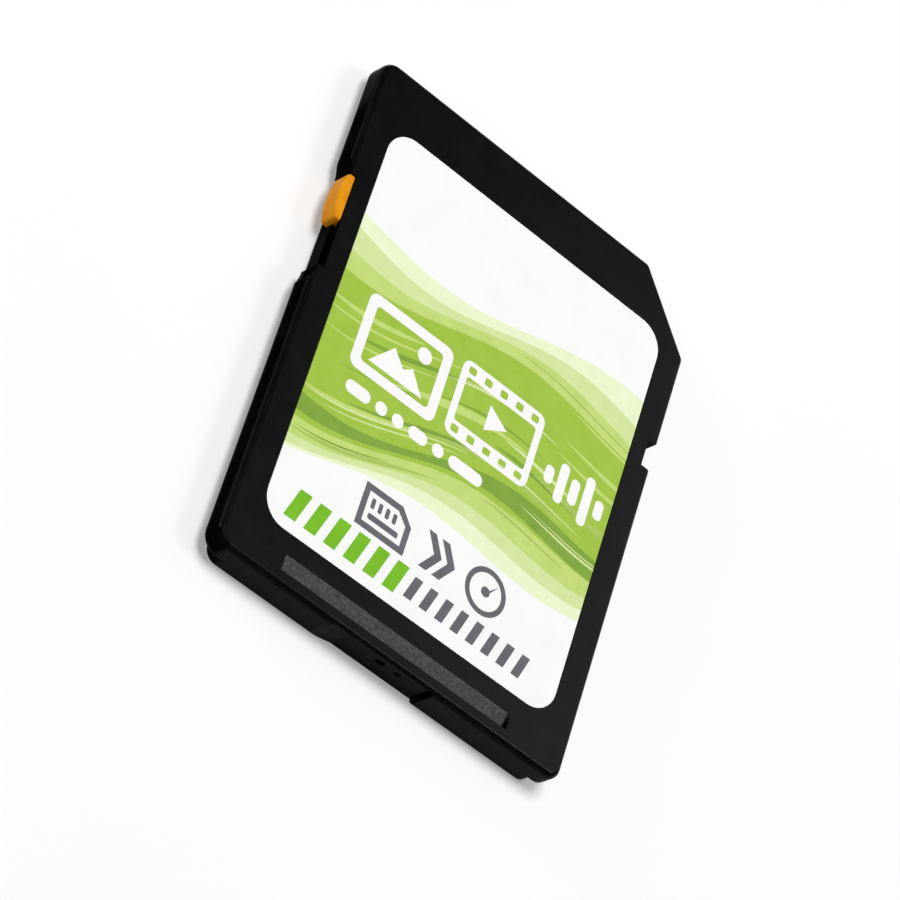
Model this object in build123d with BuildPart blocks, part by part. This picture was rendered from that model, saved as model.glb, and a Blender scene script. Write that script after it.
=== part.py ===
# SD memory card: two half shells welded around a circuit board, with a sliding write lock.
# Millimetres. The origin is the centre of the back face, +Z points out of the label face,
# +Y to the contact end and +X to the side with the slanted corner.
import os
from math import sqrt

from build123d import *

# Card body
card_width = 24.0
card_length = 32.0
card_thickness = 2.1
left_corner_radius = 1.0
right_corner_radius = 0.75
waist_left_radius = 0.8  # corners of the narrower back half
waist_right_radius = 0.6
key_cut = 4.0  # legs of the slanted corner
key_radius = 0.4  # rounding at both ends of the slanted corner
face_radius = 0.35  # rounded rim of the label face
back_radius = 0.2  # rounded rim of the back face
rail_width = 0.75  # how far each rail stands out past the back half
step_height = 0.7  # underside of the rails
rail_lip = 0.35  # rail material below the seam
rail_radius = 0.2  # rounded lower edge of the rails
lip_flat = 0.05  # straight part left between that rounding and the seam

# Walls around the inside
side_wall = 0.5  # beside the inside, below the rails
contact_wall = 1.0
rear_wall = 1.9
key_wall = 0.9
inside_radius = 0.4
face_plate = 0.2  # under the label
back_plate = 0.35

# Thumb groove at the rear of the face, a wedge with its steep wall at the rear
grip_width = 15.74
grip_length = 0.96
grip_setback = 0.77  # from the rear end
grip_depth = 0.35

# Label
label_left_margin = 1.87
label_right_margin = 1.77
label_setback = 3.53  # from the contact end
label_grip_gap = 1.17  # from the thumb groove
label_radius = 1.6
label_thickness = 0.1
label_sink = 0.02  # label surface below the face
label_gap = 0.04  # around the label in its recess

# Nail recess in the rear wall, and the two pits where the moulding gate broke off
nail_width = 5.6  # at its floor
nail_x = 0.25
nail_depth = 0.29
nail_top_gap = 0.15  # below the face
nail_ramp = 1.45  # slope at its left end
nail_end_radius = 0.12  # rounded edge at its right end
pit_x = 0.55  # middle between the pits
pit_spacing = 1.2
pit_rise = 0.1  # above the seam
pit_left_width = 0.55
pit_left_height = 0.4
pit_right_width = 0.4
pit_right_height = 0.28
pit_radius = 0.1
pit_depth = 0.12

# Latch notch in the right rail
latch_width = 1.65
latch_setback = 10.95  # centre of the notch from the contact end
latch_front_radius = 0.3  # rounded end of the rail on the contact side
latch_rear_radius = 0.12

# Slot in the left rail for the write lock
slot_length = 6.25
slot_depth = 0.66
slot_setback = 7.95  # from the contact end
slot_mouth_radius = 2.0  # the rail eases in to the slot at both ends
slot_mouth_depth = 0.25  # before it stops at a straight wall
slit_inset = 0.25  # the slit through the wall is this much shorter at each end

# Write lock
lock_length = 3.0
lock_shoulder = 0.36  # width of the knob's flat ends
lock_bulge = 0.23  # crown of the knob's outer side
lock_end_radius = 0.22
lock_rim_radius = 0.15
lock_sink = 0.03  # top of the knob below the face
lock_lift = 0.12  # underside of the knob above that of the rails
guide_length = 3.4  # bar inside the wall that keeps the lock captive
guide_width = 0.45
lock_gap = 0.05  # running clearance

# Circuit board
board_thickness = 0.4
board_gap = 0.1  # to the walls and to the lock
contact_depth = 0.7  # contact side of the board above the back face
support_width = 0.6
support_spacing = 11.0
support_end_gap = 0.8

# Contacts, and the windows they are reached through
pad_count = 7  # wide pads in a row, before the edge pad and the key pad
pad_width = 1.7
pad_length = 4.3
pad_setback = 1.6  # from the contact end
pad_thickness = 0.04
pad_radius = 0.15
edge_pad_width = 1.1
edge_pad_gap = 0.3  # between the last wide pad and the edge pad
edge_pad_margin = 0.1  # to the board's left side
key_pad_margin = 0.6  # to the board's right side
key_pad_clearance = 0.43  # to the board's slanted corner
key_pad_drop = 0.7  # rear end of the key pad behind the others
window_gap = 0.12  # beside the pads
window_end_gap = 0.3  # behind the key pad
window_ramp = 0.2  # slope that leads a contact spring in
shelf_margin = 0.6  # thick floor behind the windows

# Pins that line up the shells, and posts that hold the board down
pin_radius = 0.2
pin_length = 0.4
pin_gap = 0.02
rear_pin_inset = 1.15  # from the inside's side walls
post_radius = 0.35
post_inset = 1.45  # from the inside's side walls
post_setback = 7.4  # from the contact end
rear_post_inset = 0.9  # from the inside's rear wall

# Flash memory package
memory_span = 17.0  # over the leads
memory_body = 15.4
memory_width = 12.0
memory_rear_gap = 2.0  # to the inside's rear wall
memory_standoff = 0.05
memory_headroom = 0.08
lead_count = 24  # on each side
lead_pitch = 0.48
lead_width = 0.2
lead_thickness = 0.09
lead_shoulder = 0.15
lead_foot = 0.45
dot_radius = 0.4  # moulded mark at the first lead
dot_depth = 0.03
dot_inset = 1.0

# Controller package
controller_size = 6.0
controller_x = 2.2
controller_gap = 1.6  # in front of the memory
controller_headroom = 0.14
terminal_count = 10  # on each side
terminal_pitch = 0.5
terminal_width = 0.25
terminal_length = 0.4
terminal_thickness = 0.03

# Small parts on the board
cap_share = 0.25  # length of each metal end, of the whole
cap_step = 0.02  # how far the ends stand out from the body
supply_count = 4
supply_length = 1.0
supply_width = 0.5
supply_headroom = 0.18
supply_pitch = 1.5
supply_gap = 1.0  # to the controller
bulk_length = 2.0
bulk_width = 1.25
bulk_headroom = 0.1
bulk_gap = 1.0  # to the controller
pullup_count = 5
pullup_length = 1.0
pullup_width = 0.5
pullup_headroom = 0.33
pullup_pitch = 1.6
pullup_gap = 0.8  # to the controller

# Levels worked out from the sizes above
seam = step_height + rail_lip
label_floor = card_thickness - label_sink - label_thickness
ceiling = label_floor - face_plate
board_top = contact_depth + board_thickness
part_room = ceiling - board_top

# Places worked out from the sizes above
half_width = card_width / 2
half_length = card_length / 2
slant = half_width + half_length - key_cut  # x + y along the slanted corner
waist = half_width - rail_width
inside_x = waist - side_wall
inside_rear = -half_length + rear_wall
inside_front = half_length - contact_wall
inside_slant = slant - key_wall * sqrt(2)
grip_rear = -half_length + grip_setback
grip_front = grip_rear + grip_length
label_width = card_width - label_left_margin - label_right_margin
label_x = (label_left_margin - label_right_margin) / 2
label_length = half_length - label_setback - label_grip_gap - grip_front
label_y = half_length - label_setback - label_length / 2
latch_y = half_length - latch_setback
nail_left = nail_x - nail_width / 2
nail_right = nail_x + nail_width / 2

slot_high = half_length - slot_setback
slot_y = slot_high - slot_length / 2
slot_x = -half_width + slot_depth
lock_high = slot_high - lock_gap
lock_low = lock_high - lock_length
lock_y = (lock_high + lock_low) / 2
lock_travel = slot_length - lock_length - 2 * lock_gap
knob_x = slot_x - lock_gap
knob_side = knob_x - lock_shoulder
guide_outer = -inside_x + lock_gap
guide_inner = guide_outer + guide_width
guide_high = lock_y + guide_length / 2
guide_low = lock_y - guide_length / 2 - lock_travel

board_x = inside_x - board_gap
edge_pad_x = -board_x + edge_pad_margin + edge_pad_width / 2
key_pad_x = board_x - key_pad_margin - pad_width / 2
last_pad_x = edge_pad_x + edge_pad_width / 2 + edge_pad_gap + pad_width / 2
pad_pitch = (key_pad_x - last_pad_x) / pad_count
pad_front = half_length - pad_setback
pad_rear = pad_front - pad_length
key_pad_front = inside_slant - board_gap * sqrt(2) - key_pad_clearance - key_pad_x - pad_width / 2
key_pad_rear = pad_rear - key_pad_drop
window_rear = key_pad_rear - window_end_gap
shelf_rear = window_rear - shelf_margin

memory_y = inside_rear + memory_rear_gap + memory_width / 2
memory_height = part_room - memory_standoff - memory_headroom
controller_y = memory_y + memory_width / 2 + controller_gap + controller_size / 2
controller_height = part_room - terminal_thickness - controller_headroom

pin_places = [
    (-inside_x + rear_pin_inset, -half_length + rear_wall / 2),
    (inside_x - rear_pin_inset, -half_length + rear_wall / 2),
    (key_pad_x - 1.5 * pad_pitch, half_length - contact_wall / 2),
    (last_pad_x + 0.5 * pad_pitch, half_length - contact_wall / 2),
]
post_places = [
    (-inside_x + post_inset, half_length - post_setback),
    (inside_x - post_inset, half_length - post_setback),
    (-inside_x + post_inset, inside_rear + rear_post_inset),
    (inside_x - post_inset, inside_rear + rear_post_inset),
]


# Outlines shared by several pieces
with BuildSketch() as card_plan:
    with BuildLine():
        FilletPolyline(
            (-half_width, -half_length),
            (half_width, -half_length),
            (half_width, slant - half_width),
            (slant - half_length, half_length),
            (-half_width, half_length),
            radius=[left_corner_radius, right_corner_radius, key_radius, key_radius, left_corner_radius],
            close=True,
        )
    make_face()

with BuildSketch() as waist_plan:
    with BuildLine():
        FilletPolyline(
            (-waist, -half_length),
            (waist, -half_length),
            (waist, slant - waist),
            (slant - half_length, half_length),
            (-waist, half_length),
            radius=[waist_left_radius, waist_right_radius, key_radius, key_radius, waist_left_radius],
            close=True,
        )
    make_face()

with BuildSketch() as label_plan:
    with Locations((label_x, label_y)):
        RectangleRounded(label_width, label_length, label_radius)

# Pits as seen on the rear wall
with BuildSketch() as pit_section:
    with Locations((pit_x - pit_spacing / 2, seam + pit_rise)):
        RectangleRounded(pit_left_width, pit_left_height, pit_radius)
    with Locations((pit_x + pit_spacing / 2, seam + pit_rise)):
        RectangleRounded(pit_right_width, pit_right_height, pit_radius)


def inside_plan(gap):
    # The space between the walls, moved in by a gap
    side = inside_x - gap
    front = inside_front - gap
    corner = inside_slant - gap * sqrt(2)
    with BuildSketch() as plan:
        with BuildLine():
            FilletPolyline(
                (-side, inside_rear + gap),
                (side, inside_rear + gap),
                (side, corner - side),
                (corner - front, front),
                (-side, front),
                radius=inside_radius,
                close=True,
            )
        make_face()
    return plan.sketch


def notch_plan(place, turn, width, depth, low_end, high_end):
    # Notch centred on a wall's surface. At each end the wall is rounded in, to a radius and a depth,
    # and goes straight on to the floor. It opens to the left before it is turned.
    low_radius, low_sink = low_end
    high_radius, high_sink = high_end
    low = -width / 2
    high = width / 2
    low_mouth = low - sqrt(2 * low_radius * low_sink - low_sink**2)
    high_mouth = high + sqrt(2 * high_radius * high_sink - high_sink**2)
    with BuildSketch() as notch:
        with BuildLine():
            RadiusArc((0, high_mouth), (high_sink, high), high_radius)
            Polyline((high_sink, high), (depth, high), (depth, low), (low_sink, low))
            RadiusArc((low_sink, low), (0, low_mouth), low_radius)
            Polyline((0, low_mouth), (-depth, low_mouth), (-depth, high_mouth), (0, high_mouth))
        make_face()
    return Location(place, turn) * notch.sketch


latch_plan = notch_plan(
    (half_width, latch_y),
    180,
    latch_width,
    rail_width,
    (latch_front_radius, latch_front_radius),
    (latch_rear_radius, latch_rear_radius),
)


def lock_slot_plan(depth):
    mouth = (slot_mouth_radius, slot_mouth_depth)
    return notch_plan((-half_width, slot_y), 0, slot_length, depth, mouth, mouth)


# Nail recess: a slope at its left end, a rounded edge at its right end
with BuildSketch(Location((0, -half_length))) as nail_plan:
    with BuildLine():
        Polyline(
            (nail_left - nail_ramp, -nail_depth),
            (nail_left - nail_ramp, 0),
            (nail_left, nail_depth),
            (nail_right, nail_depth),
            (nail_right, nail_end_radius),
        )
        RadiusArc((nail_right, nail_end_radius), (nail_right + nail_end_radius, 0), nail_end_radius)
        Polyline(
            (nail_right + nail_end_radius, 0),
            (nail_right + nail_end_radius, -nail_depth),
            (nail_left - nail_ramp, -nail_depth),
        )
    make_face()


# Front shell
with BuildPart() as front_shell:
    with BuildSketch(Plane.XY.offset(seam)):
        add(card_plan.sketch)
    extrude(amount=card_thickness - seam)
    fillet(front_shell.faces().sort_by(Axis.Z)[-1].edges(), face_radius)
    with BuildSketch(Plane.XY.offset(seam)):
        add(inside_plan(0))
    extrude(amount=ceiling - seam, mode=Mode.SUBTRACT)
    # Label recess
    with BuildSketch(Plane.XY.offset(label_floor)):
        offset(label_plan.sketch, amount=label_gap)
    extrude(amount=label_thickness + label_sink, mode=Mode.SUBTRACT)
    # Thumb groove
    with BuildSketch(Plane.YZ):
        with BuildLine():
            Polyline(
                (grip_front, card_thickness),
                (grip_rear, card_thickness),
                (grip_rear, card_thickness - grip_depth),
                close=True,
            )
        make_face()
    extrude(amount=grip_width / 2, both=True, mode=Mode.SUBTRACT)
    # Latch notch and lock slot through the rails
    with BuildSketch(Plane.XY.offset(seam)):
        add(latch_plan)
        add(lock_slot_plan(slot_depth))
    extrude(amount=card_thickness - seam, mode=Mode.SUBTRACT)
    # Slit for the stem of the lock
    with BuildSketch(Plane.XY.offset(seam)):
        with Locations((slot_x, slot_high - slit_inset)):
            Rectangle(
                guide_outer - slot_x,
                slot_length - 2 * slit_inset,
                align=(Align.MIN, Align.MAX),
            )
    extrude(amount=ceiling - seam, mode=Mode.SUBTRACT)
    # Nail recess and pits
    with BuildSketch(Plane.XY.offset(seam)):
        add(nail_plan.sketch)
    extrude(amount=card_thickness - nail_top_gap - seam, mode=Mode.SUBTRACT)
    with BuildSketch(Plane.XZ.offset(half_length)):
        add(pit_section.sketch)
    extrude(amount=-nail_depth - pit_depth, mode=Mode.SUBTRACT)
    # Posts that hold the board down
    with BuildSketch(Plane.XY.offset(board_top)):
        with Locations(post_places):
            Circle(post_radius)
    extrude(amount=part_room)
    # Pins that enter the back shell
    with BuildSketch(Plane.XY.offset(seam)):
        with Locations(pin_places):
            Circle(pin_radius)
    extrude(amount=-pin_length)
front_shell.part.label = "front_shell"

# Back shell
with BuildPart() as back_shell:
    # Rails, rounded along their lower edge
    with BuildSketch(Plane.XY.offset(step_height)):
        add(card_plan.sketch)
    extrude(amount=rail_lip)
    rail_round = min(rail_radius, rail_lip - lip_flat)
    fillet(back_shell.faces().sort_by(Axis.Z)[0].edges(), rail_round)
    # Narrower half between and below them
    with BuildSketch():
        add(waist_plan.sketch)
    extrude(amount=seam)
    fillet(back_shell.faces().sort_by(Axis.Z)[0].edges(), back_radius)
    # Inside: a shelf at the contacts, a thinner floor elsewhere
    with BuildSketch(Plane.XY.offset(contact_depth)):
        add(inside_plan(0))
    extrude(amount=seam - contact_depth, mode=Mode.SUBTRACT)
    with BuildSketch(Plane.XY.offset(back_plate)):
        add(inside_plan(0))
        with Locations((0, shelf_rear)):
            Rectangle(card_width, card_length, align=(Align.CENTER, Align.MAX), mode=Mode.INTERSECT)
    extrude(amount=contact_depth - back_plate, mode=Mode.SUBTRACT)
    # Ribs under the board
    with BuildSketch(Plane.XY.offset(back_plate)):
        with Locations((0, (inside_rear + shelf_rear) / 2)):
            with GridLocations(support_spacing, 0, 2, 1):
                Rectangle(support_width, shelf_rear - inside_rear - 2 * support_end_gap)
    extrude(amount=contact_depth - back_plate)
    # Contact windows, open at the contact end; the edge pad shares the last one
    shared_left = edge_pad_x - edge_pad_width / 2
    shared_right = last_pad_x + pad_width / 2
    windows = [(key_pad_x - i * pad_pitch, pad_width) for i in range(pad_count)]
    windows.append(((shared_left + shared_right) / 2, shared_right - shared_left))
    for window_x, window_width in windows:
        with BuildSketch(Plane.YZ.offset(window_x)):
            with BuildLine():
                Polyline(
                    (window_rear, -back_radius),
                    (window_rear, contact_depth),
                    (half_length - window_ramp, contact_depth),
                    (half_length, contact_depth + window_ramp),
                    (half_length + window_ramp, contact_depth + window_ramp),
                    (half_length + window_ramp, -back_radius),
                    close=True,
                )
            make_face()
        extrude(amount=window_width / 2 + window_gap, both=True, mode=Mode.SUBTRACT)
    # Latch notch and lock slot through the rails
    with BuildSketch(Plane.XY.offset(step_height)):
        add(latch_plan)
        add(lock_slot_plan(rail_width))
    extrude(amount=rail_lip, mode=Mode.SUBTRACT)
    # Nail recess, open at the back face, and pits
    with BuildSketch():
        add(nail_plan.sketch)
    extrude(amount=seam, mode=Mode.SUBTRACT)
    with BuildSketch(Plane.XZ.offset(half_length)):
        add(pit_section.sketch)
    extrude(amount=-nail_depth - pit_depth, mode=Mode.SUBTRACT)
    # Sockets for the pins
    with BuildSketch(Plane.XY.offset(seam)):
        with Locations(pin_places):
            Circle(pin_radius + pin_gap)
    extrude(amount=-pin_length - pin_gap, mode=Mode.SUBTRACT)
back_shell.part.label = "back_shell"

# Label
with BuildPart() as front_label:
    with BuildSketch(Plane.XY.offset(label_floor)):
        add(label_plan.sketch)
    extrude(amount=label_thickness)
front_label.part.label = "front_label"

# Write lock: knob in the slot, stem through the slit, guide bar inside the wall
with BuildPart() as lock_slider:
    with BuildSketch(Plane.XY.offset(step_height + lock_lift)):
        with BuildLine():
            Polyline((knob_side, lock_low), (knob_x, lock_low), (knob_x, lock_high), (knob_side, lock_high))
            ThreePointArc((knob_side, lock_high), (knob_side - lock_bulge, lock_y), (knob_side, lock_low))
        make_face()
    extrude(amount=card_thickness - lock_sink - step_height - lock_lift)
    fillet(lock_slider.edges().filter_by(Axis.Z).group_by(Axis.X)[0], lock_end_radius)
    for knob_end in lock_slider.faces().filter_by(Axis.Z):
        fillet(knob_end.edges().sort_by(Axis.X)[:-1], lock_rim_radius)
    with BuildSketch(Plane.XY.offset(seam + lock_gap)):
        with Locations((knob_side, lock_y)):
            Rectangle(
                guide_inner - knob_side,
                lock_length - 2 * slit_inset,
                align=(Align.MIN, Align.CENTER),
            )
    extrude(amount=ceiling - seam - 2 * lock_gap)
    with BuildSketch(Plane.XY.offset(back_plate + lock_gap)):
        with Locations((guide_outer, lock_y)):
            Rectangle(guide_width, guide_length, align=(Align.MIN, Align.CENTER))
    extrude(amount=ceiling - back_plate - 2 * lock_gap)
lock_slider.part.label = "lock_slider"

# Circuit board, notched beside the lock
with BuildPart() as circuit_board:
    with BuildSketch(Plane.XY.offset(contact_depth)):
        add(inside_plan(board_gap))
        with Locations((guide_inner + board_gap, (guide_low + guide_high) / 2)):
            Rectangle(
                card_width,
                guide_high - guide_low + 2 * board_gap,
                align=(Align.MAX, Align.CENTER),
                mode=Mode.SUBTRACT,
            )
    extrude(amount=board_thickness)
circuit_board.part.label = "circuit_board"

# Flash memory package, with its mark at the first lead
with BuildPart() as memory_chip:
    with BuildSketch(Plane.XY.offset(board_top + memory_standoff)):
        with Locations((0, memory_y)):
            Rectangle(memory_body, memory_width)
    extrude(amount=memory_height)
    with BuildSketch(Plane.XY.offset(board_top + memory_standoff + memory_height)):
        with Locations((-memory_body / 2 + dot_inset, memory_y + memory_width / 2 - dot_inset)):
            Circle(dot_radius)
    extrude(amount=-dot_depth, mode=Mode.SUBTRACT)
memory_chip.part.label = "memory_chip"

# Its leads, bent down from the middle of both ends to the board
with BuildPart() as memory_leads:
    half_lead = lead_thickness / 2
    head_z = board_top + memory_standoff + memory_height / 2
    foot_z = board_top + half_lead
    head_x = memory_body / 2
    bend_x = head_x + lead_shoulder
    foot_x = memory_span / 2 - lead_foot
    tip_x = memory_span / 2
    lead_shift = (lead_count - 1) / 2
    lead_planes = [Plane.XZ.offset(-memory_y + (i - lead_shift) * lead_pitch) for i in range(lead_count)]
    with BuildSketch(*lead_planes):
        with BuildLine():
            Polyline(
                (head_x, head_z + half_lead),
                (bend_x + half_lead, head_z + half_lead),
                (foot_x + half_lead, foot_z + half_lead),
                (tip_x, foot_z + half_lead),
                (tip_x, foot_z - half_lead),
                (foot_x - half_lead, foot_z - half_lead),
                (bend_x - half_lead, head_z - half_lead),
                (head_x, head_z - half_lead),
                close=True,
            )
        make_face()
    extrude(amount=lead_width / 2, both=True)
    mirror(about=Plane.YZ)
memory_leads.part.label = "memory_leads"

# Controller package on its solder lands
with BuildPart() as controller_chip:
    with BuildSketch(Plane.XY.offset(board_top + terminal_thickness)):
        with Locations((controller_x, controller_y)):
            Rectangle(controller_size, controller_size)
    extrude(amount=controller_height)
    with BuildSketch(Plane.XY.offset(board_top + terminal_thickness + controller_height)):
        dot_shift = controller_size / 2 - dot_inset
        with Locations((controller_x - dot_shift, controller_y + dot_shift)):
            Circle(dot_radius)
    extrude(amount=-dot_depth, mode=Mode.SUBTRACT)
controller_chip.part.label = "controller_chip"

with BuildPart() as controller_terminals:
    with BuildSketch(Plane.XY.offset(board_top)):
        with Locations((controller_x, controller_y)):
            with PolarLocations(controller_size / 2 - terminal_length / 2, 4):
                with GridLocations(0, terminal_pitch, 1, terminal_count):
                    Rectangle(terminal_length, terminal_width)
    extrude(amount=terminal_thickness)
controller_terminals.part.label = "controller_terminals"

os.makedirs("parts", exist_ok=True)
export_step(front_shell.part, "parts/front_shell.step")
export_step(back_shell.part, "parts/back_shell.step")
export_step(front_label.part, "parts/front_label.step")
export_step(lock_slider.part, "parts/lock_slider.step")
export_step(circuit_board.part, "parts/circuit_board.step")
export_step(memory_chip.part, "parts/memory_chip.step")
export_step(memory_leads.part, "parts/memory_leads.step")
export_step(controller_chip.part, "parts/controller_chip.step")
export_step(controller_terminals.part, "parts/controller_terminals.step")

# Contacts on the board: the row, the narrow edge pad and the key pad by the slanted corner
pads = [(key_pad_x - (i + 1) * pad_pitch, pad_front, pad_width, pad_length) for i in range(pad_count)]
pads.append((edge_pad_x, pad_front, edge_pad_width, pad_length))
pads.append((key_pad_x, key_pad_front, pad_width, key_pad_front - key_pad_rear))
for number, (pad_x, front, width, length) in enumerate(pads, start=1):
    with BuildPart() as contact_pad:
        with BuildSketch(Plane.XY.offset(contact_depth)):
            with Locations((pad_x, front)):
                RectangleRounded(width, length, pad_radius, align=(Align.CENTER, Align.MAX))
        extrude(amount=-pad_thickness)
    contact_pad.part.label = f"contact_pad_{number}"
    export_step(contact_pad.part, f"parts/contact_pad_{number}.step")


def chip_part(place, length, width, height, turn):
    # Small part on the board: a body between two metal ends that stand out a little
    with BuildPart() as chip:
        with BuildSketch(Plane.XY.offset(board_top)):
            with Locations(Location(place, turn)):
                with GridLocations(length * (1 - cap_share), 0, 2, 1):
                    Rectangle(length * cap_share, width)
        extrude(amount=height)
        with BuildSketch(Plane.XY.offset(board_top + cap_step)):
            with Locations(Location(place, turn)):
                Rectangle(length * (1 - cap_share), width - 2 * cap_step)
        extrude(amount=height - 2 * cap_step)
    return chip


# Small parts beside and in front of the controller
supply_x = controller_x - controller_size / 2 - supply_gap - supply_length / 2
for number in range(1, supply_count + 1):
    supply_y = controller_y + (number - (supply_count + 1) / 2) * supply_pitch
    supply = chip_part((supply_x, supply_y), supply_length, supply_width, part_room - supply_headroom, 0)
    supply.part.label = f"supply_capacitor_{number}"
    export_step(supply.part, f"parts/supply_capacitor_{number}.step")

bulk_x = controller_x + controller_size / 2 + bulk_gap + bulk_width / 2
bulk = chip_part((bulk_x, controller_y), bulk_length, bulk_width, part_room - bulk_headroom, 90)
bulk.part.label = "bulk_capacitor"
export_step(bulk.part, "parts/bulk_capacitor.step")

pullup_y = controller_y + controller_size / 2 + pullup_gap + pullup_length / 2
for number in range(1, pullup_count + 1):
    pullup_x = controller_x + (number - (pullup_count + 1) / 2) * pullup_pitch
    pullup = chip_part((pullup_x, pullup_y), pullup_length, pullup_width, part_room - pullup_headroom, 90)
    pullup.part.label = f"pullup_resistor_{number}"
    export_step(pullup.part, f"parts/pullup_resistor_{number}.step")
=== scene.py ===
import math
import random

import bmesh
import bpy
from mathutils import Matrix, Vector, noise
from mathutils.geometry import delaunay_2d_cdt


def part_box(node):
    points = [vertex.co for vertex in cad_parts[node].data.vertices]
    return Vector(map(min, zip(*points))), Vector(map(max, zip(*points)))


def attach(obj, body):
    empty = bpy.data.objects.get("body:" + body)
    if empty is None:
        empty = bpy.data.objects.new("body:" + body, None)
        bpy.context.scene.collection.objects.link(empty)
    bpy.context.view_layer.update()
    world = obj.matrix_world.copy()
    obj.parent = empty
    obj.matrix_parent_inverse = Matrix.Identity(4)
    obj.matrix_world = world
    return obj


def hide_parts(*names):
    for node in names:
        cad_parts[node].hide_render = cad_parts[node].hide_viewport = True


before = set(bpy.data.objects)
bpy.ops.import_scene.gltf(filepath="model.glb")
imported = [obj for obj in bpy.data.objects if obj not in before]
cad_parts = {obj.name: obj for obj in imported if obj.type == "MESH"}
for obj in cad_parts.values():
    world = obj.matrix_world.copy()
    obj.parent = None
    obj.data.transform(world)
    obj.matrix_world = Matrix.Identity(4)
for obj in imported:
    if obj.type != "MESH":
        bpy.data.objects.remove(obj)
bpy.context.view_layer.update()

scene = bpy.context.scene
scene.view_settings.view_transform = "Standard"
mm = 0.001
print("frame loaded:", len(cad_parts), "solids")


# camera at the photograph's view

cameraLook = {
    "azimuth": -38.66,  # degrees, 0 looks along +Y
    "elevation": 45.46,
    "roll": 66.44,
    "distance": 243.83 * mm,
    "aim": (0.836 * mm, -0.993 * mm, -0.261 * mm),
    "lens": 184.0,
    "sensor": 36.0,
    "clipStart": 0.01,
}


def makeCamera(look):
    az, el = math.radians(look["azimuth"]), math.radians(look["elevation"])
    back = Vector((math.sin(az) * math.cos(el), -math.cos(az) * math.cos(el), math.sin(el)))
    right = Vector((math.cos(az), math.sin(az), 0.0))
    right.rotate(Matrix.Rotation(math.radians(look["roll"]), 3, back))
    up = back.cross(right)
    place = Vector(look["aim"]) + back * look["distance"]
    data = bpy.data.cameras.new("photoCamera")
    data.lens = look["lens"]
    data.sensor_width = look["sensor"]
    data.clip_start = look["clipStart"]
    cam = bpy.data.objects.new("photoCamera", data)
    turn = Matrix((right, up, back)).transposed().to_4x4()
    cam.matrix_world = Matrix.Translation(place) @ turn
    scene.collection.objects.link(cam)
    scene.camera = cam


# studio lights

lightLook = {
    "world": (0.96, 0.98, 1.0),
    "worldStrength": 0.10,
    "boxes": {  # direction from the card, distance, width, watts
        "overheadSoftbox": ((-0.18, 0.15, 1.0), 0.60, 0.30, 2.90),
        "rightSoftbox": ((0.64, 0.44, 0.63), 0.60, 0.30, 0.215),
        "leftStrip": ((-0.93, 0.31, 0.19), 0.60, 0.14, 0.48),
        "rearGlint": ((0.53, 0.07, 0.845), 0.60, 0.13, 0.50),
    },
}


def addSoftbox(name, direction, distance, size, watts):
    data = bpy.data.lights.new(name, "AREA")
    data.shape = "DISK"
    data.size = size
    data.energy = watts
    lamp = bpy.data.objects.new(name, data)
    direction = Vector(direction).normalized()
    lamp.location = direction * distance
    lamp.rotation_euler = direction.to_track_quat("Z", "Y").to_euler()
    scene.collection.objects.link(lamp)


def makeLights(look):
    world = bpy.data.worlds.new("studioWorld")
    world.use_nodes = True
    shade = world.node_tree.nodes["Background"]
    shade.inputs["Color"].default_value = (*look["world"], 1.0)
    shade.inputs["Strength"].default_value = look["worldStrength"]
    scene.world = world
    for name, values in look["boxes"].items():
        addSoftbox(name, *values)


# material nodes

def srgb(red, green, blue):  # 0-255 screen values to linear
    out = []
    for value in (red, green, blue):
        value /= 255.0
        out.append(value / 12.92 if value <= 0.04045 else ((value + 0.055) / 1.055) ** 2.4)
    return (*out, 1.0)


def newMaterial(name, roughness, specular, metallic):
    mat = bpy.data.materials.new(name)
    mat.use_nodes = True
    shader = mat.node_tree.nodes["Principled BSDF"]
    shader.inputs["Roughness"].default_value = roughness
    shader.inputs["Specular IOR Level"].default_value = specular
    shader.inputs["Metallic"].default_value = metallic
    return mat, mat.node_tree, shader


def addNode(tree, kind, **values):
    node = tree.nodes.new(kind)
    for key, value in values.items():
        key = key.replace("_", " ")
        if key in node.inputs:
            node.inputs[key].default_value = value
        else:
            setattr(node, key.replace(" ", "_"), value)
    return node


def feed(tree, socket, value):  # value is another socket or a plain number
    if isinstance(value, bpy.types.NodeSocket):
        tree.links.new(value, socket)
    else:
        socket.default_value = value


def addMath(tree, operation, *values):
    node = addNode(tree, "ShaderNodeMath", operation=operation)
    for socket, value in zip(node.inputs, values):
        feed(tree, socket, value)
    return node.outputs["Value"]


def addNoise(tree, scale, detail, rough):  # scale in cells per metre, object space
    place = addNode(tree, "ShaderNodeTexCoord")
    tex = addNode(tree, "ShaderNodeTexNoise", Scale=scale, Detail=detail, Roughness=rough)
    tree.links.new(place.outputs["Object"], tex.inputs["Vector"])
    return tex.outputs["Fac"]


def addRamp(tree, source, stops):
    ramp = tree.nodes.new("ShaderNodeValToRGB")
    while len(ramp.color_ramp.elements) < len(stops):
        ramp.color_ramp.elements.new(0.5)
    for element, (position, colour) in zip(ramp.color_ramp.elements, stops):
        element.position = position
        element.color = colour
    tree.links.new(source, ramp.inputs["Fac"])
    return ramp.outputs["Color"]


def addRange(tree, source, low, high, start=0.0, end=1.0):
    span = addNode(tree, "ShaderNodeMapRange", From_Min=start, From_Max=end, To_Max=high)
    feed(tree, span.inputs["To Min"], low)
    tree.links.new(source, span.inputs["Value"])
    return span.outputs["Result"]


def splitVector(tree, kind, output):
    split = addNode(tree, "ShaderNodeSeparateXYZ")
    tree.links.new(addNode(tree, kind).outputs[output], split.inputs["Vector"])
    return split.outputs


def addBump(tree, shader, source, depth):
    bump = addNode(tree, "ShaderNodeBump", Strength=1.0, Distance=depth)
    tree.links.new(source, bump.inputs["Height"])
    tree.links.new(bump.outputs["Normal"], shader.inputs["Normal"])


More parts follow.
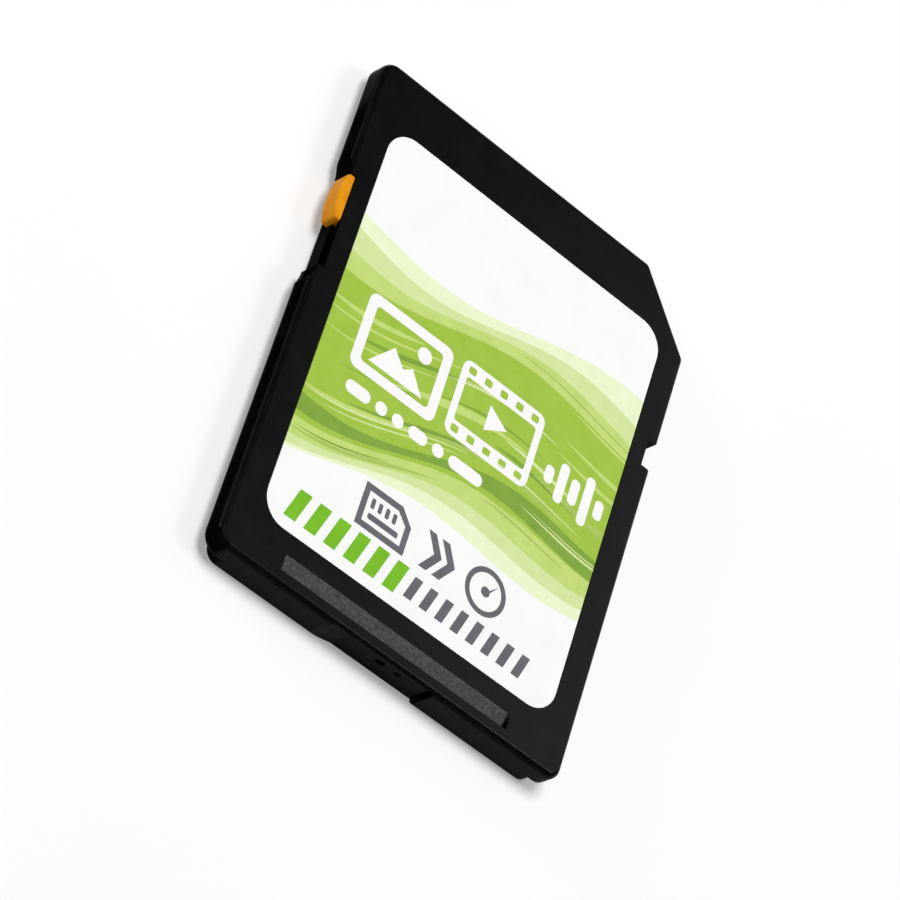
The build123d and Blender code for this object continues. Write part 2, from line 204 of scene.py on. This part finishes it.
# gloss cut or raised by the lean and place of the surface: painted shade on the side walls, the rear
# left corner and a band of each rim, painted sheen on the side walls near the contact end
def addGlossForPaintedShadeAndSheen(tree, shader, look):  # walls, one corner and two rims keep a share of the gloss
    normal = splitVector(tree, "ShaderNodeNewGeometry", "True Normal")
    place = splitVector(tree, "ShaderNodeTexCoord", "Object")
    # side walls lose their gloss as painted shade, and regain some near the contact end as a painted
    # sheen
    side = addRange(tree, place["Y"], look["sidePaintedShadeShare"], look["frontPaintedSheenShare"], *look["frontStart"])
    leanX, leanZ = (addMath(tree, "ABSOLUTE", normal[axis]) for axis in ("X", "Z"))
    wall = addRange(tree, leanX, side, look["endShare"], *look["endTurn"])
    share = addRange(tree, leanZ, wall, 1.0, *look["faceTurn"])

    # the rear left corner loses gloss, a painted shade over the highlight there
    rearLeft = addMath(tree, "MAXIMUM", normal["X"], normal["Y"])  # below 0 where both face it
    corner = addRange(tree, rearLeft, look["cornerPaintedShadeShare"], 1.0, *look["cornerTurn"])
    share = addMath(tree, "MULTIPLY", share, corner)

    # a band on the upper part of the left and rear rims loses gloss, a painted dark band of shade
    for axis, rimPaintedShadeShare in (("X", look["leftRimPaintedShadeShare"]), ("Y", look["rearRimPaintedShadeShare"])):
        across = addRange(tree, normal[axis], 0.0, 1.0, -1.0, 0.0)
        stops = zip(look["rimTurn"], (1.0, rimPaintedShadeShare, rimPaintedShadeShare, 1.0))
        rim = addRamp(tree, across, [(spot, (part, part, part, 1.0)) for spot, part in stops])
        share = addMath(tree, "MULTIPLY", share, rim)
    gloss = addMath(tree, "MULTIPLY", share, look["specular"])
    tree.links.new(gloss, shader.inputs["Specular IOR Level"])


def grainedMaterial(look):  # moulded, printed and plated finishes share this build
    mat, tree, shader = newMaterial(
        look["name"], look["roughness"][0], look["specular"], look.get("metallic", 0.0)
    )
    tone = addNoise(tree, look["toneScale"], detail=4.0, rough=0.55)
    colours = [(spot, srgb(*rgb)) for spot, rgb in look["colours"]]
    tree.links.new(addRamp(tree, tone, colours), shader.inputs["Base Color"])
    grain = addNoise(tree, look["grainScale"], detail=2.0, rough=0.6)
    tree.links.new(addRange(tree, grain, *look["roughness"]), shader.inputs["Roughness"])
    addBump(tree, shader, grain, look["grainDepth"])
    if "sidePaintedShadeShare" in look:
        addGlossForPaintedShadeAndSheen(tree, shader, look)
    return mat


# floor

floorLook = {
    "size": 1.6,
    "drop": 0.02 * mm,  # below the back face
    "glow": 0.30,  # share of plain white where the floor is seen, so its shadow stays pale
}

floorPaper = {
    "name": "floorPaper",
    "colours": [(0.35, (251, 251, 252)), (0.65, (253, 253, 253))],
    "toneScale": 30.0,
    "roughness": (0.85, 0.95),
    "specular": 0.1,
    "grainScale": 900.0,
    "grainDepth": 0.01 * mm,
}


def floorMaterial(glow):
    mat = grainedMaterial(floorPaper)
    tree = mat.node_tree
    rays = addNode(tree, "ShaderNodeLightPath")
    seen = rays.outputs["Is Camera Ray"]
    for kind in ("Is Glossy Ray", "Is Transmission Ray"):
        seen = addMath(tree, "MAXIMUM", seen, rays.outputs[kind])
    white = addNode(tree, "ShaderNodeEmission", Strength=1.0)
    blend = addNode(tree, "ShaderNodeMixShader")
    tree.links.new(addMath(tree, "MULTIPLY", seen, glow), blend.inputs["Fac"])
    tree.links.new(tree.nodes["Principled BSDF"].outputs["BSDF"], blend.inputs[1])
    tree.links.new(white.outputs["Emission"], blend.inputs[2])
    tree.links.new(blend.outputs["Shader"], tree.nodes["Material Output"].inputs["Surface"])
    return mat


def makeFloor(look):
    size = look["size"] / 2
    mesh = bpy.data.meshes.new("floor")
    corners = [(-size, -size, 0), (size, -size, 0), (size, size, 0), (-size, size, 0)]
    mesh.from_pydata(corners, [], [(0, 1, 2, 3)])
    mesh.materials.append(floorMaterial(look["glow"]))
    floor = bpy.data.objects.new("floor", mesh)
    floor.location.z = -look["drop"]
    scene.collection.objects.link(floor)


# finishes of the solids

shellPlastic = {
    "name": "shellPlastic",
    "colours": [(0.30, (3, 3, 4)), (0.50, (7, 7, 8)), (0.72, (12, 12, 13))],
    "toneScale": 700.0,
    "roughness": (0.21, 0.29),
    "specular": 0.17,
    "grainScale": 9000.0,
    "grainDepth": 0.004 * mm,
    # shares of the gloss, and the leans of the surface between which each sets in
    "faceTurn": (0.30, 0.70),
    # side walls: no gloss, a painted shade
    "sidePaintedShadeShare": 0.0,
    "frontPaintedSheenShare": 0.09,  # side walls at the contact end, gloss for a painted sheen
    "frontStart": (12.5 * mm, 15.7 * mm),  # along the card
    "endShare": 0.15,  # walls of both ends
    "endTurn": (0.5, 0.0),
    "cornerPaintedShadeShare": 0.25,  # rear left corner, less gloss for a painted shade
    "cornerTurn": (-0.15, -0.02),
    "leftRimPaintedShadeShare": 0.35,  # upper part of the rounded rims, less gloss for a painted dark band of shade
    "rearRimPaintedShadeShare": 0.65,
    "rimTurn": (0.30, 0.50, 0.88, 0.97),
}

backPlastic = {
    **shellPlastic,
    "name": "backPlastic",
    # side walls: little gloss, a painted shade
    "sidePaintedShadeShare": 0.02,
    "endTurn": (0.95, 0.5),
    "cornerPaintedShadeShare": 1.0,
}

lockPlastic = {
    "name": "lockPlastic",
    "colours": [(0.30, (216, 134, 14)), (0.52, (226, 146, 20)), (0.72, (233, 156, 28))],
    "toneScale": 900.0,
    "roughness": (0.34, 0.48),
    "specular": 0.03,
    "grainScale": 7000.0,
    "grainDepth": 0.004 * mm,
}

boardMask = {
    "name": "boardMask",
    "colours": [(0.35, (10, 46, 30)), (0.65, (16, 62, 40))],
    "toneScale": 1600.0,
    "roughness": (0.22, 0.36),
    "specular": 0.5,
    "grainScale": 3600.0,
    "grainDepth": 0.004 * mm,
}

contactGold = {
    "name": "contactGold",
    "colours": [(0.30, (214, 166, 76)), (0.55, (232, 188, 98)), (0.75, (240, 203, 120))],
    "toneScale": 1500.0,
    "roughness": (0.16, 0.34),
    "specular": 0.5,
    "metallic": 1.0,
    "grainScale": 5200.0,
    "grainDepth": 0.002 * mm,
}

chipResin = {
    "name": "chipResin",
    "colours": [(0.30, (30, 30, 32)), (0.70, (42, 42, 44))],
    "toneScale": 2500.0,
    "roughness": (0.55, 0.75),
    "specular": 0.3,
    "grainScale": 9000.0,
    "grainDepth": 0.004 * mm,
}

tinPlate = {
    "name": "tinPlate",
    "colours": [(0.30, (176, 176, 174)), (0.70, (206, 206, 204))],
    "toneScale": 4000.0,
    "roughness": (0.25, 0.45),
    "specular": 0.5,
    "metallic": 1.0,
    "grainScale": 9000.0,
    "grainDepth": 0.002 * mm,
}

capacitorCeramic = {
    "name": "capacitorCeramic",
    "colours": [(0.30, (138, 108, 80)), (0.70, (160, 128, 96))],
    "toneScale": 5000.0,
    "roughness": (0.45, 0.65),
    "specular": 0.4,
    "grainScale": 9000.0,
    "grainDepth": 0.003 * mm,
}

resistorGlaze = {
    "name": "resistorGlaze",
    "colours": [(0.30, (34, 34, 38)), (0.70, (50, 50, 54))],
    "toneScale": 5000.0,
    "roughness": (0.25, 0.45),
    "specular": 0.5,
    "grainScale": 9000.0,
    "grainDepth": 0.003 * mm,
}

finishes = {  # start of the solid's name, its finish
    "front_shell": shellPlastic,
    "back_shell": backPlastic,
    "lock_slider": lockPlastic,
    "circuit_board": boardMask,
    "memory_chip": chipResin,
    "controller_chip": chipResin,
    "memory_leads": tinPlate,
    "controller_terminals": tinPlate,
    "contact_pad": contactGold,
    "bulk_capacitor": capacitorCeramic,
    "supply_capacitor": capacitorCeramic,
    "pullup_resistor": resistorGlaze,
}


def dressSolids(looks):
    made = {}
    for start, look in looks.items():
        name = look["name"]
        if name not in made:
            made[name] = grainedMaterial(look)
        for node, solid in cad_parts.items():
            if node.startswith(start):
                for slot in solid.material_slots:
                    slot.material = made[name]


# closed meshes from an upper sheet

def closeBelow(build, setHeight):  # walls down from the sheet's edge, then a bottom
    after, ink = {}, {}
    for edge in build.edges:
        if edge.is_boundary:
            loop = edge.link_loops[0]
            after[loop.vert] = loop.link_loop_next.vert
            ink[loop.vert] = loop.face.material_index
    rim = [next(iter(after))]
    while after[rim[-1]] != rim[0]:
        rim.append(after[rim[-1]])
    below = [build.verts.new((v.co.x, v.co.y, setHeight(v.co.z))) for v in rim]
    for i, vert in enumerate(rim):
        wall = build.faces.new((vert, rim[i - 1], below[i - 1], below[i]))
        wall.material_index = ink[rim[i - 1]]
    build.faces.new(below[::-1])
    bmesh.ops.recalc_face_normals(build, faces=build.faces)


def addPiece(name, build, materials):
    mesh = bpy.data.meshes.new(name)
    build.to_mesh(mesh)
    build.free()
    for material in materials:
        mesh.materials.append(material)
    piece = bpy.data.objects.new(name, mesh)
    scene.collection.objects.link(piece)
    return piece


# printed label, drawn in mm from its middle

labelFilm = {
    "name": "labelFilm",
    "colours": [(0.30, (246, 246, 245)), (0.70, (250, 250, 249))],
    "toneScale": 420.0,
    "roughness": (0.34, 0.44),
    "specular": 0.15,
    "grainScale": 6000.0,
    "grainDepth": 0.0015 * mm,
}

inkLook = {
    "toneScale": 900.0,
    "colours": {
        "mistGreen": ((230, 243, 198), (238, 248, 210)),
        "paleGreen": ((208, 226, 152), (216, 232, 168)),
        "softGreen": ((188, 213, 112), (198, 221, 126)),
        "freshGreen": ((156, 191, 64), (164, 198, 74)),
        "leafGreen": ((124, 160, 58), (134, 170, 66)),
        "oliveGreen": ((166, 192, 92), (174, 200, 102)),
        "lineGreen": ((116, 184, 34), (124, 192, 42)),
        "slateGrey": ((98, 99, 104), (108, 109, 114)),
    },
}


def disc(cx, cy, radius, count=64):
    steps = [2 * math.pi * i / count for i in range(count)]
    return [(cx + radius * math.cos(a), cy + radius * math.sin(a)) for a in steps]


def roundBox(cx, cy, width, height, radius, count=10):
    points = []
    for corner, (sx, sy) in enumerate(((1, 1), (-1, 1), (-1, -1), (1, -1))):
        ox, oy = cx + sx * (width / 2 - radius), cy + sy * (height / 2 - radius)
        for i in range(count + 1):
            a = math.pi / 2 * (corner + i / count)
            points.append((ox + radius * math.cos(a), oy + radius * math.sin(a)))
    return points


def slantBox(cx, cy, width, height, slant):
    half, lean = width / 2, slant * height / 2
    return [
        (cx - half - lean, cy - height / 2),
        (cx + half - lean, cy - height / 2),
        (cx + half + lean, cy + height / 2),
        (cx - half + lean, cy + height / 2),
    ]


def moved(outline, x, y, scaleX=1.0, scaleY=1.0):
    return [(x + px * scaleX, y + py * scaleY) for px, py in outline]


def counterClockwise(shape):
    area = sum(a[0] * b[1] - b[0] * a[1] for a, b in zip(shape, shape[1:] + shape[:1]))
    return shape if area > 0 else shape[::-1]


ribbonLook = {
    "step": 0.15,
    "reach": 1.1,  # times the label's width
    "ribbons": [  # ink, lower and upper edge: middle, slope, swell, turn per mm, shift
        ("mistGreen", (-7.0, 0.10, 0.70, 0.30, 2.2), (7.0, 0.05, 0.80, 0.28, -0.6)),
        ("paleGreen", (-6.3, 0.12, 0.80, 0.31, 1.8), (6.0, 0.02, 0.90, 0.30, -0.1)),
        ("softGreen", (-5.6, 0.13, 0.80, 0.32, 1.5), (5.1, 0.04, 0.80, 0.31, 0.5)),
        ("freshGreen", (-4.6, 0.12, 0.85, 0.31, 1.2), (4.2, 0.05, 0.80, 0.30, 0.9)),
        ("leafGreen", (-4.3, 0.11, 0.90, 0.31, 1.1), (-3.4, 0.12, 0.90, 0.31, 0.6)),
    ],
    "followed": 3,  # the ribbon that the streaks run along
    "seed": 11,
    "streaks": 34,
    "start": (-0.6, 0.3),  # share of the width
    "length": (4.5, 11.0),
    "thick": (0.08, 0.34),
    "spread": (-0.12, 1.12),  # from the lower to the upper edge
    "taper": 0.7,
    "streakInks": ["softGreen", "leafGreen", "paleGreen", "oliveGreen", "softGreen"],
}


def waveAt(edge, x):
    middle, slope, swell, turn, shift = edge
    return middle + slope * x + swell * math.sin(turn * x + shift)


def ribbonShapes(look, width):
    reach = width * look["reach"]
    count = int(reach / look["step"])
    xs = [reach * (i / count - 0.5) for i in range(count + 1)]
    shapes = []
    for ink, low, high in look["ribbons"]:
        lower, upper = [(x, waveAt(low, x)) for x in xs], [(x, waveAt(high, x)) for x in xs[::-1]]
        shapes.append((ink, lower + upper))
    pick = random.Random(look["seed"])
    low, high = look["ribbons"][look["followed"]][1:]
    for i in range(look["streaks"]):
        start = pick.uniform(*look["start"]) * width
        length, thick = pick.uniform(*look["length"]), pick.uniform(*look["thick"])
        level = pick.uniform(*look["spread"])
        count = int(length / look["step"])
        top, bottom = [], []
        for j in range(count + 1):
            x = start + length * j / count
            y = waveAt(low, x) * (1 - level) + waveAt(high, x) * level
            half = thick / 2 * math.sin(math.pi * j / count) ** look["taper"] if 0 < j < count else 0.0
            top.append((x, y + half))
            bottom.append((x, y - half))
        ink = look["streakInks"][i % len(look["streakInks"])]
        shapes.append((ink, bottom + top[-2:0:-1]))
    return shapes


# white signs on the ribbon; "cut" opens the white below it

pictureSign = {
    "middle": (-5.2, 0.55),
    "size": (6.0, 4.8),
    "line": 0.62,
    "radii": (0.55, 0.25),  # outside, inside
    # share of the width, rise in mm
    "hills": [(-0.40, 0.0), (-0.12, 1.7), (0.06, 0.85), (0.18, 1.25), (0.40, 0.0)],
    "hillFoot": 0.3,
    "sun": (0.27, 0.2, 0.48),  # share of width, share of height, radius
}


def pictureShapes(look):
    (x, y), (width, height), line = look["middle"], look["size"], look["line"]
    outer, inner = look["radii"]
    inside = width - 2 * line
    foot = y - height / 2 + line + look["hillFoot"]
    sunX, sunY, sunRadius = look["sun"]
    return [
        ("labelFilm", roundBox(x, y, width, height, outer)),
        ("cut", roundBox(x, y, inside, height - 2 * line, inner)),
        ("labelFilm", moved(look["hills"], x, foot, inside)),
        ("labelFilm", disc(x + inside * sunX, y + height * sunY, sunRadius)),
    ]


filmSign = {
    "middle": (1.5, 0.75),
    "size": (6.0, 4.8),
    "radius": 0.55,
    "holes": 5,  # in a row
    "holeSize": (0.52, 0.46, 0.12),  # width, height, radius
    "holeInset": 0.5,
    "endRoom": 0.2,  # share of a pitch left over
    "window": (0.9, 1.96, 0.2),  # less than the width, less than the height, radius
    "arrow": [(-0.6, -0.82), (0.85, 0), (-0.6, 0.82)],
}


def filmShapes(look):
    (x, y), (width, height), holes = look["middle"], look["size"], look["holes"]
    shapes = [("labelFilm", roundBox(x, y, width, height, look["radius"]))]
    for i in range(holes):
        for side in (-1, 1):
            holeX = x + (i - (holes - 1) / 2) * width / (holes + look["endRoom"])
            holeY = y + side * (height / 2 - look["holeInset"])
            shapes.append(("cut", roundBox(holeX, holeY, *look["holeSize"])))
    lessWidth, lessHeight, radius = look["window"]
    shapes.append(("cut", roundBox(x, y, width - lessWidth, height - lessHeight, radius)))
    shapes.append(("labelFilm", moved(look["arrow"], x, y)))
    return shapes


soundSign = {
    "start": (5.7, 0.2),
    "width": 0.62,
    "gap": 0.30,
    "heights": (1.1, 2.5, 1.6, 3.1, 1.2),
    "round": 0.45,  # radius as a share of the width
}


def soundShapes(look):
    (x, y), width = look["start"], look["width"]
    shapes = []
    for height in look["heights"]:
        shapes.append(("labelFilm", roundBox(x, y, width, height, width * look["round"])))
        x += width + look["gap"]
    return shapes


pillRow = {
    "start": (-7.9, -3.0),
    "height": 0.78,
    "gap": 0.40,
    "widths": (1.7, 0.78, 0.78, 1.3, 0.78, 2.4),
    "round": 0.48,  # radius as a share of the height
}


def pillShapes(look):
    (x, y), height = look["start"], look["height"]
    shapes = []
    for width in look["widths"]:
        shapes.append(("labelFilm", roundBox(x + width / 2, y, width, height, height * look["round"])))
        x += width + look["gap"]
    return shapes


# dashes and marks below the ribbon

dashRow = {
    "start": (-8.6, -11.1),
    "slant": 0.28,
    "runs": [  # ink, width, height, gap, count
        ("lineGreen", 0.80, 1.90, 0.56, 6),
        ("slateGrey", 0.55, 1.45, 0.55, 8),
    ],
}


def dashShapes(look):
    x, y = look["start"]
    shapes = []
    for ink, width, height, gap, count in look["runs"]:
        for i in range(count):
            shapes.append((ink, slantBox(x + width / 2, y, width, height, look["slant"])))
            x += width + gap
    return shapes


cardMark = {
    "middle": (-3.1, -8.55),
    "outline": [(-1.7, -1.3), (1.7, -1.3), (1.7, 0.45), (0.85, 1.3), (-1.7, 1.3)],
    "inside": (0.78, 0.70),  # share of the outline
    "contacts": (4, -0.93, 0.32, 0.5),  # count, first x, y, pitch
    "contactSize": (0.26, 0.62, 0.1),
    "bar": (-0.46, 2.1, 0.36, 0.12),  # y, width, height, radius
}


def cardShapes(look):
    x, y = look["middle"]
    shapes = [
        ("slateGrey", moved(look["outline"], x, y)),
        ("labelFilm", moved(look["outline"], x, y, *look["inside"])),
    ]
    count, firstX, contactY, pitch = look["contacts"]
    for i in range(count):
        contact = roundBox(x + firstX + pitch * i, y + contactY, *look["contactSize"])
        shapes.append(("slateGrey", contact))
    barY, width, height, radius = look["bar"]
    shapes.append(("slateGrey", roundBox(x, y + barY, width, height, radius)))
    return shapes


arrowMark = {
    "starts": (-0.35, 0.60),
    "y": -8.55,
    "outline": [(0, 1.15), (0.55, 1.15), (1.3, 0), (0.55, -1.15), (0, -1.15), (0.75, 0)],
}


def arrowShapes(look):
    return [("slateGrey", moved(look["outline"], x, look["y"])) for x in look["starts"]]


dialMark = {
    "middle": (4.1, -8.55),
    "radii": (1.4, 1.08, 0.3),  # ring outside and inside, hub
    "needle": [(-0.12, -0.15), (0.15, -0.12), (0.72, 0.72)],
}


def dialShapes(look):
    x, y = look["middle"]
    outer, inner, hub = look["radii"]
    return [
        ("slateGrey", disc(x, y, outer)),
        ("labelFilm", disc(x, y, inner)),
        ("slateGrey", disc(x, y, hub)),
        ("slateGrey", moved(look["needle"], x, y)),
    ]


def labelShapes(outline, width):  # later shapes lie over earlier ones
    shapes = [("labelFilm", outline)] + ribbonShapes(ribbonLook, width)
    shapes += pictureShapes(pictureSign) + filmShapes(filmSign)
    shapes += soundShapes(soundSign) + pillShapes(pillRow)
    shapes += dashShapes(dashRow) + cardShapes(cardMark)
    return shapes + arrowShapes(arrowMark) + dialShapes(dialMark)


def inkOf(owner, shapes):  # topmost ink, without white that a cut opens
    opened = False
    for index in sorted(owner, reverse=True):
        ink = shapes[index][0]
        if ink == "cut":
            opened = True
        elif not (opened and ink == "labelFilm" and index):
            return ink


def labelMaterials():
    materials = {"labelFilm": grainedMaterial(labelFilm)}
    for ink, (dark, light) in inkLook["colours"].items():
        colours = [(0.30, dark), (0.70, light)]
        look = {**labelFilm, "name": ink, "colours": colours, "toneScale": inkLook["toneScale"]}
        materials[ink] = grainedMaterial(look)
    return materials


labelPlan = {
    "cornerRadius": 1.6,
    "cornerSteps": 16,
    "weld": 1e-5,  # points nearer than this are one
}


def makeLabel(look):
    low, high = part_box("front_label")
    width, length = (high.x - low.x) / mm, (high.y - low.y) / mm
    middle = (low + high) / 2
    outline = roundBox(0, 0, width, length, look["cornerRadius"], look["cornerSteps"])
    shapes = labelShapes(outline, width)
    points, loops = [], []
    for ink, shape in shapes:
        loop = counterClockwise(shape)
        loops.append(list(range(len(points), len(points) + len(loop))))
        points.extend(Vector(p) for p in loop)
    made = delaunay_2d_cdt(points, [], loops, 1, look["weld"])
    verts, tris, owners = made[0], made[2], made[5]

    materials = labelMaterials()
    inks = list(materials)
    build = bmesh.new()
    tops = [build.verts.new((middle.x + v.x * mm, middle.y + v.y * mm, high.z)) for v in verts]
    for tri, owner in zip(tris, owners):
        if 0 not in owner:  # outside the label
            continue
        face = build.faces.new([tops[i] for i in tri])
        face.material_index = inks.index(inkOf(owner, shapes))
    loose = [v for v in build.verts if not v.link_faces]
    bmesh.ops.delete(build, geom=loose, context="VERTS")
    closeBelow(build, lambda z: low.z)
    label = addPiece("printedLabel", build, materials.values())
    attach(label, "card")
    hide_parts("front_label")


# rough floor of the thumb groove

gripPlastic = {
    "name": "gripPlastic",
    "colours": [(0.30, (55, 55, 56)), (0.50, (69, 69, 70)), (0.70, (88, 88, 89))],
    "toneScale": 5200.0,
    "roughness": (0.60, 0.85),
    "specular": 0.25,
    "grainScale": 9000.0,
    "grainDepth": 0.01 * mm,
}

gripGrain = {  # in mm
    "left": -7.83,
    "right": 7.68,  # a smooth strip stays at this end
    "front": -14.30,
    "rear": -15.21,
    "depth": 0.35,
    "slopeLength": 0.96,
    "slopeStart": -14.27,
    "cell": 0.05,
    "lift": 0.004,
    "relief": 0.022,
    "grain": 8.5,  # bumps per mm
    "fineShare": 0.5,  # of bumps half as wide
    "fadeCells": 2.0,  # flat at the edges
    "sink": 0.02,
}


def makeGrip(look):
    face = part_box("front_shell")[1].z / mm
    width = look["right"] - look["left"]
    columns = int(width / look["cell"])
    rows = int((look["front"] - look["rear"]) / look["cell"])
    build = bmesh.new()
    grid = []
    for j in range(rows + 1):
        y = look["front"] + (look["rear"] - look["front"]) * j / rows
        slope = face - look["depth"] * (look["slopeStart"] - y) / look["slopeLength"]
        line = []
        for i in range(columns + 1):
            x = look["left"] + width * i / columns
            bump = noise.noise(Vector((x, y, 0.0)) * look["grain"])
            bump += look["fineShare"] * noise.noise(Vector((x, y, 3.0)) * look["grain"] * 2)
            edge = min(1.0, min(i, columns - i, j, rows - j) / look["fadeCells"])
            z = slope + look["lift"] + edge * look["relief"] * max(0.0, 0.5 + 0.5 * bump)
            line.append(build.verts.new((x * mm, y * mm, z * mm)))
        grid.append(line)
    for j in range(rows):
        for i in range(columns):
            build.faces.new((grid[j][i], grid[j + 1][i], grid[j + 1][i + 1], grid[j][i + 1]))
    closeBelow(build, lambda z: z - (look["lift"] + look["sink"]) * mm)
    grip = addPiece("gripGrain", build, [grainedMaterial(gripPlastic)])
    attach(grip, "card")


makeCamera(cameraLook)
makeLights(lightLook)
makeFloor(floorLook)
print("camera, lights and floor made")

dressSolids(finishes)
print("finishes on the solids")

makeLabel(labelPlan)
print("label printed")

makeGrip(gripGrain)
print("thumb groove textured")
